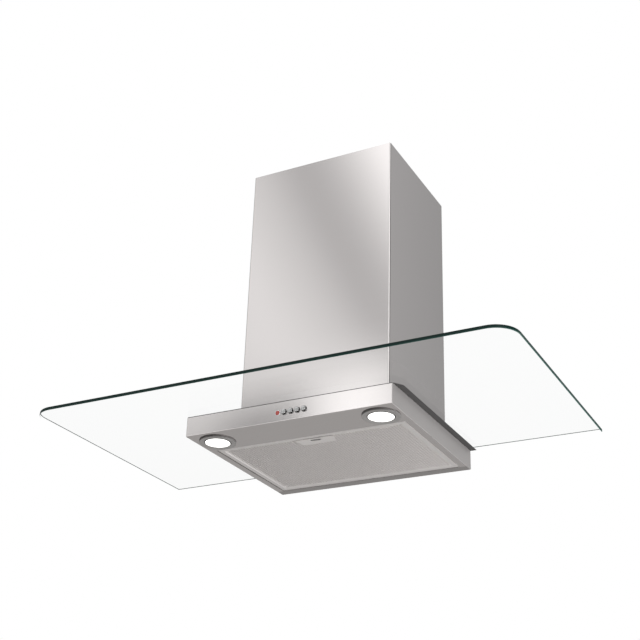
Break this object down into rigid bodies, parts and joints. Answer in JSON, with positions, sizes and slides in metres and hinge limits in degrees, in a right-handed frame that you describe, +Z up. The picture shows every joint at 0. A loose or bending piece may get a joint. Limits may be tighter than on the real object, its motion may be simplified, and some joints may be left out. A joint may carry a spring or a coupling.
{
  "type": "range hood",
  "caption": "Wall-mounted chimney range hood: flat glass canopy with rounded front corners, slim steel body with lamps, push buttons and a hinged filter, telescopic chimney.",
  "frame": {"origin": "middle of the four wall screw holes, on the wall plane", "axes": "+X to the right seen from the room, +Y into the wall, +Z up"},
  "size_m": [0.9, 0.481, 0.5856],
  "materials": {
    "brushed_shell": "brushed",
    "zinc_sheet": "satin",
    "screw_steel": "satin",
    "canopy_glass": "polished",
    "rail_black": "satin",
    "nylon": "matt",
    "blower_plastic": "matt",
    "wheel_plastic": "matt",
    "motor_paint": "satin",
    "rubber_black": "matt",
    "box_plastic": "matt",
    "button_chrome": "polished",
    "pilot_red": "gloss",
    "ring_chrome": "polished",
    "lens_white": "frosted",
    "bulb_glass": "polished",
    "filter_aluminium": "satin",
    "filter_mesh_aluminium": "satin",
    "spring_steel": "satin"
  },
  "bodies": {
    "hood": {"wall_plate": "zinc_sheet", "canopy_shell": "brushed_shell", "top_plate": "zinc_sheet", "front_bulkhead": "zinc_sheet", "glass_canopy": "canopy_glass", "glass_rail_left": "rail_black", "glass_rail_right": "rail_black", "glass_bushes": "nylon", "glass_seal": "rubber_black", "glass_bolts": "screw_steel", "glass_nuts": "screw_steel", "chimney_cover": "brushed_shell", "chimney_screws": "screw_steel", "blower_housing_left": "blower_plastic", "blower_housing_right": "blower_plastic", "blower_screws": "screw_steel", "motor_spider": "zinc_sheet", "motor_mounts": "rubber_black", "motor": "motor_paint", "inlet_guard": "blower_plastic", "outlet_collar": "blower_plastic", "damper_spindle": "screw_steel", "terminal_box": "box_plastic", "terminal_box_lid": "box_plastic", "cable_gland": "nylon", "capacitor": "box_plastic", "lamp_transformer": "box_plastic", "switch_block": "blower_plastic", "button_spring_1": "spring_steel", "button_spring_2": "spring_steel", "button_spring_3": "spring_steel", "button_spring_4": "spring_steel", "pilot_lens": "pilot_red", "lamp_ring_left": "ring_chrome", "lamp_ring_right": "ring_chrome", "lamp_lens_left": "lens_white", "lamp_lens_right": "lens_white", "lamp_housing_left": "zinc_sheet", "lamp_housing_right": "zinc_sheet", "lamp_bulb_left": "bulb_glass", "lamp_bulb_right": "bulb_glass", "filter_clips": "nylon"},
    "upper_chimney": {"upper_chimney": "brushed_shell", "chimney_bracket": "zinc_sheet", "bracket_screws": "screw_steel"},
    "impeller": {"impeller": "wheel_plastic", "motor_shaft": "screw_steel", "impeller_nut": "screw_steel"},
    "flap_front": {"damper_flap_front": "wheel_plastic"},
    "flap_rear": {"damper_flap_rear": "wheel_plastic"},
    "button_1": {"button_1": "button_chrome"},
    "button_2": {"button_2": "button_chrome"},
    "button_3": {"button_3": "button_chrome"},
    "button_4": {"button_4": "button_chrome"},
    "filter": {"filter_frame": "filter_aluminium", "filter_mesh": "filter_mesh_aluminium", "latch_plate": "brushed_shell", "latch_spring": "spring_steel"},
    "latch": {"filter_latch": "button_chrome"}
  },
  "joints": [
    {"name": "impeller_spin", "type": "hinge", "parent": "hood", "child": "impeller", "pos_m": [0, -0.1267, -0.0168], "axis": [1, 0, 0], "continuous": true},
    {"name": "flap_front_swing", "type": "hinge", "parent": "hood", "child": "flap_front", "pos_m": [0, -0.1267, 0.1523], "axis": [-1, 0, 0], "range_deg": [0, 75]},
    {"name": "flap_rear_swing", "type": "hinge", "parent": "hood", "child": "flap_rear", "pos_m": [0, -0.1267, 0.1523], "axis": [1, 0, 0], "range_deg": [0, 75]},
    {"name": "upper_chimney_slide", "type": "slide", "parent": "hood", "child": "upper_chimney", "axis": [0, 0, 1], "range_m": [0, 0.3]},
    {"name": "button_1_press", "type": "slide", "parent": "hood", "child": "button_1", "axis": [0, 1, 0], "range_m": [0, 0.003], "stiffness_N_per_m": 300, "springref_m": -0.001, "deforming": ["button_spring_1"]},
    {"name": "button_2_press", "type": "slide", "parent": "hood", "child": "button_2", "axis": [0, 1, 0], "range_m": [0, 0.003], "stiffness_N_per_m": 300, "springref_m": -0.001, "deforming": ["button_spring_2"]},
    {"name": "button_3_press", "type": "slide", "parent": "hood", "child": "button_3", "axis": [0, 1, 0], "range_m": [0, 0.003], "stiffness_N_per_m": 300, "springref_m": -0.001, "deforming": ["button_spring_3"]},
    {"name": "button_4_press", "type": "slide", "parent": "hood", "child": "button_4", "axis": [0, 1, 0], "range_m": [0, 0.003], "stiffness_N_per_m": 300, "springref_m": -0.001, "deforming": ["button_spring_4"]},
    {"name": "filter_swing", "type": "hinge", "parent": "hood", "child": "filter", "pos_m": [0, -0.024, -0.2035], "axis": [1, 0, 0], "range_deg": [0, 75]},
    {"name": "latch_draw", "type": "slide", "parent": "filter", "child": "latch", "axis": [0, 1, 0], "range_m": [0, 0.004], "stiffness_N_per_m": 300, "springref_m": -0.001, "deforming": ["latch_spring"]}
  ]
}
